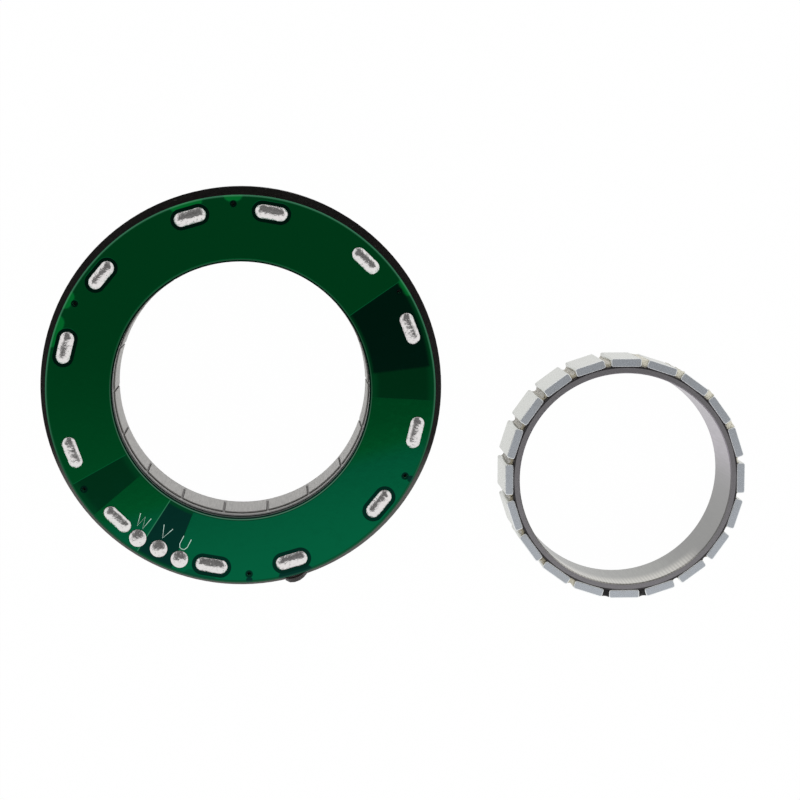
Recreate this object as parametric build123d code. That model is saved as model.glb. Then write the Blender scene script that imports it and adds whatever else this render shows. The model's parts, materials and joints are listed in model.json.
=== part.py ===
from build123d import *

import os
from math import asin, cos, degrees, hypot, radians, sin, sqrt, tan

# A frameless torque motor: a wound stator that carries a ring-shaped connection board on its
# upper end, and the magnet ring that turns in its bore, drawn out and standing beside it.
# Millimetres, +Z up. The origin is on the stator axis, halfway up the lamination stack.

# Lamination stack
SLOTS = 18
STACK_LENGTH = 15.0
CORE_RADIUS = 47.0
BORE_RADIUS = 29.6
YOKE_WIDTH = 4.4
TOOTH_WIDTH = 4.6
SLOT_OPENING = 0.6
SHOE_LIP = 0.9
SHOE_TAPER = 0.9
SLOT_CORNER = 0.9
FIRST_TOOTH_ANGLE = 11.4

# Slot liners, thin sheets folded into a U
LINER_THICKNESS = 0.25
LINER_FIT = 0.02
LINER_OVERHANG = 0.6

# Slot wedges, strips that close the slots behind the tooth shoes
WEDGE_THICKNESS = 0.3
WEDGE_FIT = 0.04
WEDGE_SETBACK = 0.3

# End insulators, moulded, one on each end of the stack
END_FLOOR = 0.8
FLANGE_SETBACK = 0.4
FLANGE_LIP = 0.2
WALL_THICKNESS = 1.2
WALL_GAP = 0.15
WIRE_NOTCH = 3.2
LEDGE_SETBACK = 0.2

# Coils, one wound round each tooth
COIL_FIT = 0.05
COIL_SPACING = 0.5
COIL_WEDGE_GAP = 0.16
COIL_CORNER = 1.6
BOARD_CLEARANCE = 1.1
FOOT_CLEARANCE = 0.5

# Wires between the coils and up to the board
STRAND_DIAMETER = 0.6
STRANDS_IN_HAND = 4
WIRE_FIT = 0.05
LINK_WIDTH = 0.9
LOOSE_LINK_SLOT = 14
LOOSE_LINK_REACH = 2.9
LEAD_WIDTH = 4.4
LEAD_THICKNESS = 1.0
LEAD_STANDOUT = 0.25

# Connection board and its solder
BOARD_THICKNESS = 1.6
BOARD_SETBACK = 1.9
BOARD_BORE_STEP = 0.2
PAD_GROUPS = 6
PAD_INSET = 3.5
PAD_ANGLES = (20.0, 46.0)
PAD_LENGTH = 7.4
PAD_WIDTH = 3.3
PAD_SIDES = 12
SOLDER_WALL = 0.45
SOLDER_FIT = 0.02
SOLDER_HEIGHT = 0.95
SOLDER_SLOPE = 30.0
PHASE_PAD_ANGLE = 242.2
PHASE_PAD_INSET = 3.4
PHASE_PAD_PITCH = 5.43
PHASE_PAD_DIAMETER = 4.05
PHASE_PAD_SIDES = 20
TOOLING_HOLE_ANGLE = 32.0
TOOLING_HOLE_DIAMETER = 0.85
TOOLING_HOLE_EDGE = 2.05

# Rotor
POLES = 20
AIR_GAP = 0.5
ROTOR_LENGTH = 19.0
HUB_WALL = 1.45
HUB_CHAMFER = 0.25
FLAT_MARGIN = 0.2
MAGNET_SPACING = 1.8
MAGNET_THICKNESS = 2.0
MAGNET_INSET = 0.2
MAGNET_EDGE = 0.3
GLUE_LINE = 0.05
BEAD_HEIGHT = 1.3
BEAD_SETBACK = 0.6
BEAD_FIT = 0.03
ROTOR_PLACE_X = 91.4
ROTOR_PLACE_Y = -22.8

# Sizes that follow from the ones above
HALF_PITCH = 180.0 / SLOTS
FIRST_SLOT_ANGLE = FIRST_TOOTH_ANGLE - HALF_PITCH
STACK_TOP = STACK_LENGTH / 2
ROOT_RADIUS = CORE_RADIUS - YOKE_WIDTH
LIP_RADIUS = BORE_RADIUS + SHOE_LIP
SHOE_RADIUS = LIP_RADIUS + SHOE_TAPER
FLANGE_RADIUS = BORE_RADIUS + FLANGE_SETBACK
WALL_RADIUS = ROOT_RADIUS + WALL_THICKNESS
BOARD_OUTER_RADIUS = CORE_RADIUS - BOARD_SETBACK
BOARD_INNER_RADIUS = BORE_RADIUS + BOARD_BORE_STEP
LEDGE_RADIUS = BOARD_OUTER_RADIUS - LEDGE_SETBACK
FLOOR_TOP = STACK_TOP + END_FLOOR
LINER_SIDE = TOOTH_WIDTH / 2 + LINER_FIT + LINER_THICKNESS
COIL_BORE_HALF_WIDTH = LINER_SIDE + COIL_FIT
COIL_BORE_HALF_HEIGHT = FLOOR_TOP + COIL_FIT
COIL_START = SHOE_RADIUS + WEDGE_FIT + WEDGE_THICKNESS + COIL_WEDGE_GAP
COIL_END = (ROOT_RADIUS - LINER_FIT - LINER_THICKNESS - COIL_FIT) * cos(radians(HALF_PITCH))
PAD_RADIUS = BOARD_OUTER_RADIUS - PAD_INSET
PHASE_PAD_RADIUS = BOARD_OUTER_RADIUS - PHASE_PAD_INSET
WALL_FLAT_DISTANCE = max(COIL_END, PAD_RADIUS + LEAD_THICKNESS / 2) + WALL_GAP
TOOLING_HOLE_RADIUS = BOARD_OUTER_RADIUS - TOOLING_HOLE_EDGE


def coil_half_width(radius):
    """Half the width of a coil at a distance from the stator axis."""
    return radius * tan(radians(HALF_PITCH)) - COIL_SPACING / 2


def coil_top(radius):
    """Height of the end turn at a distance from the stator axis, as thick as the coil's side."""
    return COIL_BORE_HALF_HEIGHT + coil_half_width(radius) - COIL_BORE_HALF_WIDTH


BOARD_BOTTOM = coil_top(COIL_END) + BOARD_CLEARANCE
BOARD_TOP = BOARD_BOTTOM + BOARD_THICKNESS
FOOT_LEVEL = -(coil_top(COIL_END) + FOOT_CLEARANCE)
FLANGE_TOP = coil_top(COIL_START) + FLANGE_LIP
ROTOR_RADIUS = BORE_RADIUS - AIR_GAP
MAGNET_WIDTH = 2 * ROTOR_RADIUS * sin(radians(180.0 / POLES)) - MAGNET_SPACING
MAGNET_FACE = sqrt(ROTOR_RADIUS**2 - (MAGNET_WIDTH / 2 - MAGNET_EDGE) ** 2)
MAGNET_MIDDLE = MAGNET_FACE - MAGNET_THICKNESS / 2
FLAT_DISTANCE = MAGNET_FACE - MAGNET_THICKNESS - GLUE_LINE
HUB_RADIUS = hypot(FLAT_DISTANCE, MAGNET_WIDTH / 2 + FLAT_MARGIN)
HUB_BORE_RADIUS = FLAT_DISTANCE - HUB_WALL
ROTOR_MIDDLE = FOOT_LEVEL + ROTOR_LENGTH / 2


def polar(radius, angle):
    """A point of the plan, from its radius and its angle in degrees."""
    return (radius * cos(radians(angle)), radius * sin(radians(angle)))


def flank_point(radius, half_pitch, half_width):
    """Where the flank of a tooth or bar crosses a radius, beside a gap centred on +X."""
    return polar(radius, half_pitch - degrees(asin(half_width / radius)))


def flank_height(x, half_width):
    """Half the width of a slot at a distance along its middle, between the flanks of two teeth."""
    return x * tan(radians(HALF_PITCH)) - half_width / cos(radians(HALF_PITCH))


def opposite(point):
    """The same point on the other side of the X axis."""
    return (point[0], -point[1])


def around(shape, count, first_angle):
    """Copies of a shape turned about Z at an even pitch."""
    return [Rot(0, 0, first_angle + k * 360.0 / count) * shape for k in range(count)]


def ring(inner, outer):
    return Circle(outer) - Circle(inner)


def flat_sided(distance, flat_angle):
    """An outline with a flat for each slot, at a distance, one of them facing an angle."""
    return RegularPolygon(distance, SLOTS, major_radius=False, rotation=flat_angle + HALF_PITCH)


def radial_bar(inner, outer, width):
    """A rectangle of the plan that runs out along +X."""
    return Pos((inner + outer) / 2, 0) * Rectangle(outer - inner, width)


def rise(shape, bottom, top):
    """A plan shape extruded between two heights."""
    return extrude(Pos(0, 0, bottom) * shape, amount=top - bottom)


def slot_pocket(gap, start_radius):
    """The wide part of a slot, centred on +X, kept a gap inside the teeth and its flat root."""
    root = ROOT_RADIUS - gap
    half_width = TOOTH_WIDTH / 2 + gap
    low = flank_point(start_radius, HALF_PITCH, half_width)
    high = (root, flank_height(root, half_width))
    pocket = make_face(Polyline(low, high, opposite(high), opposite(low), close=True))
    corners = pocket.vertices().sort_by(Axis.X)[-2:]
    return chamfer(corners, length=SLOT_CORNER - gap)


def slot_throat():
    """The narrow part of a slot, between two tooth shoes with sloping backs."""
    half = SLOT_OPENING / 2
    back = flank_point(SHOE_RADIUS, HALF_PITCH, TOOTH_WIDTH / 2)
    inside_bore = BORE_RADIUS - SHOE_LIP
    upper = [(inside_bore, half), (LIP_RADIUS, half), back]
    lower = [opposite(point) for point in reversed(upper)]
    return make_face(Polyline(*upper, *lower, close=True))


def core_plan():
    slot = slot_pocket(0.0, SHOE_RADIUS) + slot_throat()
    return ring(BORE_RADIUS, CORE_RADIUS) - around(slot, SLOTS, FIRST_SLOT_ANGLE)


def stator_core():
    return rise(core_plan(), -STACK_TOP, STACK_TOP)


def slot_liners():
    outside = slot_pocket(LINER_FIT, COIL_START)
    inside = slot_pocket(LINER_FIT + LINER_THICKNESS, COIL_START - 2 * LINER_THICKNESS)
    end = STACK_TOP + LINER_OVERHANG
    return around(rise(outside - inside, -end, end), SLOTS, FIRST_SLOT_ANGLE)


def slot_wedges():
    """Strips that lie on the backs of the shoes, each with a rib that fills the slot's opening."""
    half_width = flank_height(SHOE_RADIUS, LINER_SIDE)
    plate = radial_bar(SHOE_RADIUS + WEDGE_FIT, SHOE_RADIUS + WEDGE_FIT + WEDGE_THICKNESS, 2 * half_width)
    rib = radial_bar(BORE_RADIUS + WEDGE_SETBACK, SHOE_RADIUS + WEDGE_FIT, SLOT_OPENING - 2 * WEDGE_FIT)
    end = STACK_TOP - WEDGE_FIT
    return around(rise(plate + rib, -end, end), SLOTS, FIRST_SLOT_ANGLE)


def end_insulator(wall_top):
    """The insulator on the upper end: a floor over the iron, a flange all round behind the
    tooth faces, and a castellated outer wall that the wires pass through."""
    flanges = flat_sided(SHOE_RADIUS, FIRST_TOOTH_ANGLE) - Circle(FLANGE_RADIUS)
    arm_start = (FLANGE_RADIUS + SHOE_RADIUS) / 2
    arms = around(radial_bar(arm_start, WALL_RADIUS, TOOTH_WIDTH), SLOTS, FIRST_TOOTH_ANGLE)
    floor = (Circle(LEDGE_RADIUS) - flat_sided(ROOT_RADIUS, FIRST_SLOT_ANGLE)) + flanges + arms
    notches = around(radial_bar(COIL_START, CORE_RADIUS, WIRE_NOTCH), SLOTS, FIRST_SLOT_ANGLE)
    wall = Circle(WALL_RADIUS) - flat_sided(WALL_FLAT_DISTANCE, FIRST_TOOTH_ANGLE) - notches
    body = rise(floor, STACK_TOP, FLOOR_TOP)
    body += rise(flanges, FLOOR_TOP, FLANGE_TOP)
    body += rise(wall, FLOOR_TOP, wall_top)
    return body


def upper_insulator():
    return end_insulator(BOARD_BOTTOM)


def lower_insulator():
    return mirror(end_insulator(-FOOT_LEVEL), about=Plane.XY)


def spreading(half_start, half_end):
    """The outline of a coil along its radius, with its half width at either end."""
    upper = [(COIL_START, half_start), (COIL_END, half_end)]
    return make_face(Polyline(*upper, *[opposite(point) for point in reversed(upper)], close=True))


def coil():
    """A coil round a tooth on +X: it widens with the slot, and its end turns rise with it."""
    plan = spreading(coil_half_width(COIL_START), coil_half_width(COIL_END))
    side = spreading(coil_top(COIL_START), coil_top(COIL_END))
    winding = extrude(plan, amount=coil_top(COIL_END), both=True)
    winding &= extrude(Plane.XZ * side, amount=coil_half_width(COIL_END), both=True)
    middle = (COIL_START + COIL_END) / 2
    length = COIL_END - COIL_START
    long_edges = winding.edges().filter_by(lambda edge: abs(edge.center().X - middle) < length / 4)
    tunnel = Box(2 * length, 2 * COIL_BORE_HALF_WIDTH, 2 * COIL_BORE_HALF_HEIGHT)
    return chamfer(long_edges, length=COIL_CORNER) - Pos(middle, 0, 0) * tunnel


def link_wires():
    """Bundles that join neighbouring coils, laid on the ledge outside the castellated wall."""
    inner = WALL_RADIUS + WIRE_FIT
    outer = inner + LINK_WIDTH
    leg_angle = degrees(LINK_WIDTH / inner)
    pitch = 2 * HALF_PITCH
    wedge = make_face(
        Polyline((0, 0), polar(2 * outer, leg_angle), polar(2 * outer, pitch - leg_angle), close=True)
    )
    leg = radial_bar(COIL_END + LINK_WIDTH, outer, LINK_WIDTH)
    plan = (ring(inner, outer) & wedge) + Rot(0, 0, leg_angle) * leg
    plan += Rot(0, 0, pitch - leg_angle) * leg
    bottom = FLOOR_TOP + WIRE_FIT
    link = rise(plan, bottom, bottom + STRANDS_IN_HAND * STRAND_DIAMETER)
    return [turned(link, slot) for slot in link_slots() if slot != LOOSE_LINK_SLOT]


def turned(shape, slot):
    """A shape made at +X, turned to the slot of that number."""
    return Rot(0, 0, FIRST_SLOT_ANGLE + 2 * HALF_PITCH * slot) * shape


def link_slots():
    """The slots where a link starts: two in each group of three coils."""
    return [slot for slot in range(SLOTS) if slot % 3 != 0]


def loose_link():
    """The one link whose strands bow out past the board's edge."""
    strands = []
    for k in range(STRANDS_IN_HAND):
        reach = WALL_RADIUS + LOOSE_LINK_REACH - k * STRAND_DIAMETER * 0.75
        home = WALL_RADIUS + WIRE_FIT + STRAND_DIAMETER / 2
        height = FLOOR_TOP + WIRE_FIT + (k + 0.5) * (STRAND_DIAMETER + SOLDER_FIT)
        plan = [(ROOT_RADIUS, 1.0), (reach, 2.2), (reach, 7.6), (home, 12.5), (home, 18.0)]
        points = [(*polar(radius, angle), height) for radius, angle in plan]
        path = Polyline(*points)
        section = Plane(origin=path @ 0, z_dir=path % 0) * RegularPolygon(STRAND_DIAMETER / 2, 6)
        strand = sweep(section, path=path, transition=Transition.RIGHT)
        strands.append(turned(strand, LOOSE_LINK_SLOT))
    return strands


def lead_plan(extra=0.0):
    return Rot(0, 0, 90) * Rectangle(LEAD_WIDTH + 2 * extra, LEAD_THICKNESS + 2 * extra)


def plug_plan(extra=0.0):
    length = LEAD_WIDTH + 2 * (SOLDER_WALL + extra)
    width = LEAD_THICKNESS + 2 * (SOLDER_WALL + extra)
    return Rot(0, 0, 90) * Rectangle(length, width)


def at_slot_pads(shape):
    """Copies of a shape at the twelve slotted pads, with its local Y along the rim."""
    copies = []
    for angle in PAD_ANGLES:
        copies += around(Pos(PAD_RADIUS, 0) * shape, PAD_GROUPS, angle)
    return copies


def at_phase_pad(shape, step):
    """A shape at a phase pad: step is -1, 0 or 1 along the straight row."""
    return Rot(0, 0, PHASE_PAD_ANGLE) * Pos(PHASE_PAD_RADIUS, step * PHASE_PAD_PITCH) * shape


def coil_leads():
    bottom = coil_top(COIL_END) + WIRE_FIT
    return at_slot_pads(rise(lead_plan(), bottom, BOARD_TOP + LEAD_STANDOUT))


def circuit_board():
    plan = ring(BOARD_INNER_RADIUS, BOARD_OUTER_RADIUS) - at_slot_pads(plug_plan(SOLDER_FIT))
    tooling_hole = Pos(TOOLING_HOLE_RADIUS, 0) * Circle(TOOLING_HOLE_DIAMETER / 2)
    plan -= around(tooling_hole, PAD_GROUPS, TOOLING_HOLE_ANGLE)
    return rise(plan, BOARD_BOTTOM, BOARD_TOP)


def domed(plan):
    """A solder dome on the board, whose sides slope in all round."""
    return extrude(Pos(0, 0, BOARD_TOP) * plan, amount=SOLDER_HEIGHT, taper=SOLDER_SLOPE)


def oblong_plan():
    """The outline of a slotted pad, along Y: its round ends have a few straight sides each."""
    straight = PAD_LENGTH - PAD_WIDTH
    end = RegularPolygon(PAD_WIDTH / 2, PAD_SIDES)
    return Rectangle(PAD_WIDTH, straight) + Pos(0, straight / 2) * end + Pos(0, -straight / 2) * end


def slot_solder_joints():
    dome = domed(oblong_plan())
    joint = dome + rise(plug_plan(), BOARD_BOTTOM, BOARD_TOP)
    joint -= rise(lead_plan(SOLDER_FIT), BOARD_BOTTOM, BOARD_TOP + LEAD_STANDOUT + SOLDER_FIT)
    return at_slot_pads(joint)


def phase_pad(step):
    return at_phase_pad(domed(RegularPolygon(PHASE_PAD_DIAMETER / 2, PHASE_PAD_SIDES)), step)


def at_rotor(shape):
    """A rotor piece made on the Z axis, moved to where the rotor stands."""
    return Pos(ROTOR_PLACE_X, ROTOR_PLACE_Y, ROTOR_MIDDLE) * shape


def rotor_hub():
    """A thin turned ring with a flat for each magnet and a strip of round left between."""
    flats = RegularPolygon(FLAT_DISTANCE, POLES, major_radius=False, rotation=180.0 / POLES)
    plan = (flats & Circle(HUB_RADIUS)) - Circle(HUB_BORE_RADIUS)
    hub = rise(plan, -ROTOR_LENGTH / 2, ROTOR_LENGTH / 2)
    bore_edges = hub.edges().filter_by(GeomType.CIRCLE)
    bore_edges = bore_edges.filter_by(lambda edge: abs(edge.radius - HUB_BORE_RADIUS) < MAGNET_EDGE)
    return at_rotor(chamfer(bore_edges, length=HUB_CHAMFER))


def magnet(number):
    length = ROTOR_LENGTH - 2 * MAGNET_INSET
    bar = Box(MAGNET_THICKNESS, MAGNET_WIDTH, length)
    bar = chamfer(bar.edges(), length=MAGNET_EDGE)
    return at_rotor(Rot(0, 0, number * 360.0 / POLES) * Pos(MAGNET_MIDDLE, 0, 0) * bar)


def magnet_adhesive():
    """A bead of glue on the hub in each gap between two magnets."""
    half_pitch = 180.0 / POLES
    bottom = HUB_RADIUS + BEAD_FIT
    low = flank_point(bottom, half_pitch, MAGNET_WIDTH / 2 + BEAD_FIT)
    high = flank_point(bottom + BEAD_HEIGHT, half_pitch, MAGNET_WIDTH / 2 + BEAD_FIT)
    plan = make_face(Polyline(low, high, opposite(high), opposite(low), close=True))
    end = ROTOR_LENGTH / 2 - MAGNET_INSET - BEAD_SETBACK
    return [at_rotor(bead) for bead in around(rise(plan, -end, end), POLES, half_pitch)]


def motor():
    """Every piece of the motor, by the name of its file."""
    pieces = {
        "stator_core": stator_core(),
        "slot_liners": slot_liners(),
        "slot_wedges": slot_wedges(),
        "upper_insulator": upper_insulator(),
        "lower_insulator": lower_insulator(),
        "link_wires": link_wires(),
        "loose_link": loose_link(),
        "coil_leads": coil_leads(),
        "circuit_board": circuit_board(),
        "slot_solder_joints": slot_solder_joints(),
        "phase_pad_w": phase_pad(-1),
        "phase_pad_v": phase_pad(0),
        "phase_pad_u": phase_pad(1),
        "rotor_hub": rotor_hub(),
        "magnet_adhesive": magnet_adhesive(),
    }
    for number, piece in enumerate(around(coil(), SLOTS, FIRST_TOOTH_ANGLE)):
        pieces[f"coil_{number + 1:02d}"] = piece
    for number in range(POLES):
        pieces[f"magnet_{number + 1:02d}"] = magnet(number)
    return pieces


os.makedirs("parts", exist_ok=True)
for name, piece in motor().items():
    solids = piece if isinstance(piece, list) else [piece]
    body = Compound([solid for part in solids for solid in part.solids()])
    export_step(body, f"parts/{name}.step")
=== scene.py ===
import json
from math import copysign, cos, pi, radians, sin, tan

import bmesh
import bpy
from mathutils import Matrix, Vector, noise


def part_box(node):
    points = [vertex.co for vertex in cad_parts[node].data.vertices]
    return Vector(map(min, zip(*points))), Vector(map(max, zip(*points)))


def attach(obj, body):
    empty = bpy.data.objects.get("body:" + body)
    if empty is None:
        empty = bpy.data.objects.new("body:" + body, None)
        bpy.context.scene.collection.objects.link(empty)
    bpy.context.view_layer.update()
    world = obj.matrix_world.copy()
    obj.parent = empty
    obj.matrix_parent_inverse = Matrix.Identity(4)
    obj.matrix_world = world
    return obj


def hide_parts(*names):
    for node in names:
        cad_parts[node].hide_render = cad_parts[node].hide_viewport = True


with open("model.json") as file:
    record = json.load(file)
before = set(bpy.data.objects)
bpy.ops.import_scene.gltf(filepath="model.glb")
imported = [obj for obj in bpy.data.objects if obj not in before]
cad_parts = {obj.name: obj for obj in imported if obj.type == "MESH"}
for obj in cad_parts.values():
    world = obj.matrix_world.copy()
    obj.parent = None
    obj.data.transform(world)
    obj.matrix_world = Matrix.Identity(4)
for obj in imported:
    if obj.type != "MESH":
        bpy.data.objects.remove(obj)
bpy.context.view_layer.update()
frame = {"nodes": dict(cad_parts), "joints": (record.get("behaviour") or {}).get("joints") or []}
CAD = frame["nodes"]

# Without a seed of its own, noise_vector would dent the solder and the glue differently each run
noise.seed_set(3)

# Lengths are metres, and MM turns millimetres into them. Angles in the plan are degrees from +X.
MM = 0.001

# The two turning axes of the motor
STATOR_AXIS = Vector((0, 0, 0))
ROTOR_AXIS = Vector(frame["joints"][0]["pos_m"])

# The photograph's camera
CAMERA_PLACE = Vector((8.67, 50.03, 523.5)) * MM
CAMERA_TARGET = Vector((36.8, -2.44, 15.5)) * MM
FOCAL_PIXELS = 2200
PHOTO_PIXELS = 800
SENSOR_MM = 36.0

# Light, with lengths and places in metres
SOFTBOX_HEIGHT = 1.0
SOFTBOX_WIDTH = 1.5
SOFTBOX_DEPTH = 0.8
SOFTBOX_EDGE_Y = -0.163
SOFTBOX_WATTS = 1.75
WORLD_LEVEL = 0.88
FLOOR_SIZE = 6.0
FLOOR_GREY = 0.86
BACKGROUND_SHARE = 0.99

# Grey cards that only shiny faces show: their places in metres, and their brightness
CARD_HEIGHT = SOFTBOX_HEIGHT + 0.01
CARD_WIDTH = 3.2
CARD_REACH = 2.6
CARD_OVERLAP = 0.6
CARD_FOOT = 0.25
CARD_EDGE_Y = -0.158
CARD_EDGE_SOFTNESS = 0.003
CARD_TURN = 14.5
CARD_GREYS = (0.42, 0.17)
CARD_FADES = (0.14, 0.24)
CARD_GLOW = 0.72
CARD_GLOW_REACH = 0.06
CARD_SIDE_LEVEL = 0.9
SIDE_CARD_START_X = 0.13
SIDE_CARD_EDGE_Y = -0.2
SIDE_CARD_END_Y = 0.5
SIDE_CARD_DROP = 0.005

# Stator features, as the CAD part has them
SLOTS = 18
FIRST_SLOT_ANGLE = 1.4
SLOT_PITCH = 360 / SLOTS
FIRST_TOOTH_ANGLE = FIRST_SLOT_ANGLE + SLOT_PITCH / 2
COIL_SPREAD = tan(radians(SLOT_PITCH / 2))
BOARD_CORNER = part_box("circuit_board")[1]
BOARD_RADIUS = BOARD_CORNER.x
BOARD_TOP = BOARD_CORNER.z
BOARD_BORE_RADIUS = 29.8 * MM
STACK_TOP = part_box("stator_core")[1].z
FOOT_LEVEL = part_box("lower_insulator")[0].z
STRAND = 0.6 * MM
STRANDS_IN_HAND = 4

# Solder on the board
PAD_RADIUS = 41.6 * MM
PAD_ANGLES = [first + 60 * k for first in (20, 46) for k in range(6)]
PAD_STRAIGHT = 4.2 * MM
PAD_END_RADIUS = 1.7 * MM
SOLDER_HEIGHT = 0.95 * MM
PHASE_SOLDER_HEIGHT = 0.85 * MM
PHASE_PAD_ANGLE = 242.2
PHASE_PAD_RADIUS = 41.7 * MM
PHASE_PAD_PITCH = 5.43 * MM
PHASE_PAD_END_RADIUS = 2.1 * MM

# Rotor
POLES = 20


def linear(red, green, blue):
    """A colour as the eye sees it in an image, 0 to 255, as the shader wants it."""
    def channel(value):
        share = value / 255
        return share / 12.92 if share <= 0.04045 else ((share + 0.055) / 1.055) ** 2.4
    return (channel(red), channel(green), channel(blue), 1.0)


def polar(radius, angle, height=0.0):
    """A point from its radius and its angle in the plan."""
    return Vector((radius * cos(radians(angle)), radius * sin(radians(angle)), height))


def turn(angle, centre=STATOR_AXIS):
    """A turn about the vertical line through a point."""
    return Matrix.Translation(centre) @ Matrix.Rotation(radians(angle), 4, "Z")


def turned_back_box(node, angle, centre=STATOR_AXIS):
    """The corners of a CAD node's box after the node is turned back to +X about a centre."""
    back = turn(angle, centre).inverted()
    places = [back @ vertex.co for vertex in CAD[node].data.vertices]
    low = Vector(min(place[axis] for place in places) for axis in range(3))
    high = Vector(max(place[axis] for place in places) for axis in range(3))
    return low, high


class Mixer:
    """Short ways to add nodes to a tree. An input is a plain value or another node's output."""

    def __init__(self, tree):
        self.tree = tree

    def add(self, kind, inputs, **settings):
        """A new node, with its inputs linked or set."""
        made = self.tree.nodes.new(kind)
        for name, value in settings.items():
            setattr(made, name, value)
        for key, value in inputs.items():
            if isinstance(value, bpy.types.NodeSocket):
                self.tree.links.new(value, made.inputs[key])
            else:
                made.inputs[key].default_value = value
        return made

    def math(self, operation, *values):
        return self.add("ShaderNodeMath", dict(enumerate(values)), operation=operation).outputs[0]

    def step(self, value, start, end, low=0.0, high=1.0):
        """Goes smoothly from low to high as a value goes from start to end."""
        inputs = {0: value, 1: start, 2: end, 3: low, 4: high}
        return self.add("ShaderNodeMapRange", inputs, interpolation_type="SMOOTHSTEP").outputs[0]

    def blend(self, share, first, second):
        """One colour over another, by a share."""
        inputs = {0: share, 6: first, 7: second}
        return self.add("ShaderNodeMix", inputs, data_type="RGBA").outputs[2]

    def both(self, *masks):
        """Masks multiplied together."""
        product = masks[0]
        for mask in masks[1:]:
            product = self.math("MULTIPLY", product, mask)
        return product

    def either(self, *masks):
        """The strongest of several masks."""
        strongest = masks[0]
        for mask in masks[1:]:
            strongest = self.math("MAXIMUM", strongest, mask)
        return strongest

    def outside(self, mask):
        """One where a mask is zero."""
        return self.math("SUBTRACT", 1.0, mask)

    def part_of(self, mask, share):
        """A mask at a share of its strength."""
        return self.math("MULTIPLY", mask, share)

    def millimetres(self):
        """The place on the piece, in the frame, in millimetres."""
        place = self.add("ShaderNodeTexCoord", {}).outputs["Object"]
        scaled = self.add("ShaderNodeVectorMath", {0: place, "Scale": 1 / MM}, operation="SCALE")
        return scaled.outputs[0]

    def rotor_millimetres(self):
        """The place on a piece of the rotor, from the middle of its axis, in millimetres."""
        return self.moved(self.millimetres(), -ROTOR_AXIS / MM)

    def facing_up(self):
        """How far a face looks up, from minus one to one."""
        return self.parts(self.add("ShaderNodeNewGeometry", {}).outputs["Normal"])[2]

    def moved(self, place, location=(0, 0, 0), turn_degrees=0.0, scale=(1, 1, 1)):
        """A place seen from another origin, after a turn about Z and a stretch."""
        inputs = {
            "Vector": place,
            "Location": location,
            "Rotation": (0, 0, radians(turn_degrees)),
            "Scale": scale,
        }
        return self.add("ShaderNodeMapping", inputs).outputs[0]

    def parts(self, place):
        """The three coordinates of a place."""
        return self.add("ShaderNodeSeparateXYZ", {0: place}).outputs[:3]

    def length(self, x, y):
        """The distance from a centre in a plane."""
        squares = self.math("ADD", self.math("MULTIPLY", x, x), self.math("MULTIPLY", y, y))
        return self.math("SQRT", squares)

    def speckle(self, place, scale, detail=2.0, roughness=0.5):
        """Cloudy noise between zero and one, whose clouds shrink as the scale grows."""
        inputs = {"Vector": place, "Scale": scale, "Detail": detail, "Roughness": roughness}
        return self.add("ShaderNodeTexNoise", inputs).outputs["Fac"]

    def relief(self, height, distance, strength=1.0, normal=None):
        """The normal of a surface with a height, whose full step is a distance in metres."""
        inputs = {"Height": height, "Distance": distance, "Strength": strength}
        if normal is not None:
            inputs["Normal"] = normal
        return self.add("ShaderNodeBump", inputs).outputs[0]

    def group(self, shared, inputs):
        """A shared node group with its own input values."""
        return self.add("ShaderNodeGroup", inputs, node_tree=shared).outputs

    def grain(self, place, scale, depth, normal=None):
        """The shared fine roughness, with a depth in metres, over a normal if there is one."""
        inputs = {"Place": place, "Scale": scale, "Depth": depth}
        if normal is not None:
            inputs["Normal"] = normal
        return self.group(GRAIN, inputs)


def finish(name, **plain):
    """A new material, its mixer and its shader, with the shader's plain values set."""
    material = bpy.data.materials.new(name)
    material.use_nodes = True
    shader = material.node_tree.nodes["Principled BSDF"]
    for socket, value in plain.items():
        shader.inputs[socket.replace("_", " ").title().replace("Ior", "IOR")].default_value = value
    return material, Mixer(material.node_tree), shader


def connect(mixer, shader, **outputs):
    """Links outputs to the shader's sockets, named in small letters."""
    for socket, output in outputs.items():
        mixer.tree.links.new(output, shader.inputs[socket.replace("_", " ").title()])


NUMBER = "NodeSocketFloat"
VECTOR = "NodeSocketVector"


def shared_group(name, inputs, outputs):
    """An empty node group with named inputs and outputs, its mixer and its two end nodes."""
    shared = bpy.data.node_groups.new(name, "ShaderNodeTree")
    for side, sockets in (("INPUT", inputs), ("OUTPUT", outputs)):
        for label, kind in sockets.items():
            shared.interface.new_socket(label, in_out=side, socket_type=kind)
    mixer = Mixer(shared)
    given = mixer.add("NodeGroupInput", {}).outputs
    result = mixer.add("NodeGroupOutput", {}).inputs
    return shared, mixer, given, result


def grain_group():
    """Fine even roughness with a few marks from handling, for every hard surface."""
    inputs = {"Place": VECTOR, "Scale": NUMBER, "Depth": NUMBER, "Normal": VECTOR}
    outputs = {"Mottle": NUMBER, "Marks": NUMBER, "Normal": VECTOR}
    shared, mixer, given, result = shared_group("surface_grain", inputs, outputs)
    fine = mixer.speckle(given["Place"], given["Scale"], 3.0, 0.6)
    coarse = mixer.speckle(given["Place"], 0.35, 4.0, 0.65)
    mixer.tree.links.new(fine, result["Mottle"])
    mixer.tree.links.new(mixer.step(coarse, 0.5, 0.72), result["Marks"])
    raised = mixer.relief(fine, given["Depth"], normal=given["Normal"])
    mixer.tree.links.new(raised, result["Normal"])
    return shared


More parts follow.
